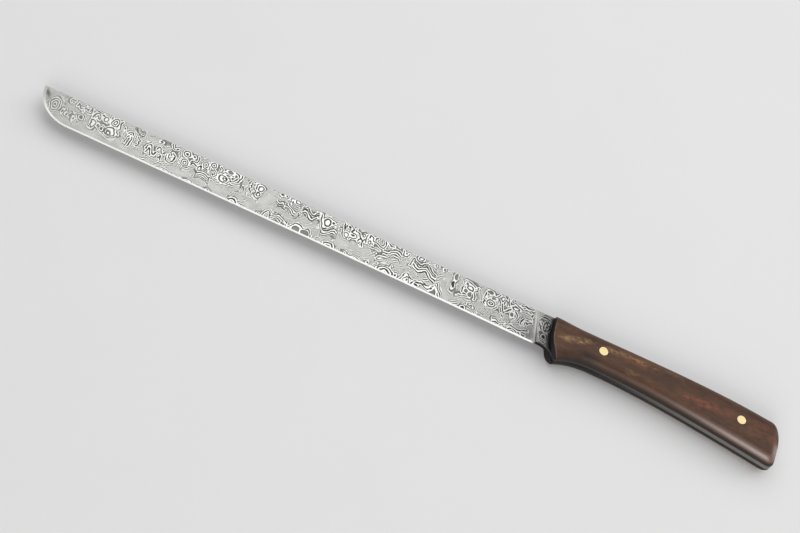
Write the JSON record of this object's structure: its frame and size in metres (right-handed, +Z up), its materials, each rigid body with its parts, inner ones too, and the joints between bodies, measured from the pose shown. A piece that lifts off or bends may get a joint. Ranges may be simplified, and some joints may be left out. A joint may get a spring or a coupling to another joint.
{
  "type": "ham knife",
  "caption": "Long, narrow ham slicing knife with a layered steel blade that sweeps up at its point, a full tang, and dark wooden scales held by brass pins.",
  "frame": {"origin": "middle of the ground under the knife, at the height of the right scale's flat crown, on which it lies", "axes": "+X from the point to the butt, +Y from the cutting edge to the spine, +Z up through the thickness of the blade"},
  "size_m": [0.4386, 0.0304, 0.0162],
  "materials": {
    "steel": "etched layered steel, light silver grey with dark contour lines",
    "wood": "dark brown hardwood, oiled to a satin sheen",
    "brass": "polished flush with the wood"
  },
  "bodies": {
    "root": {"blade_and_tang": "steel", "left_scale": "wood", "right_scale": "wood", "front_pin": "brass", "rear_pin": "brass"}
  },
  "joints": []
}
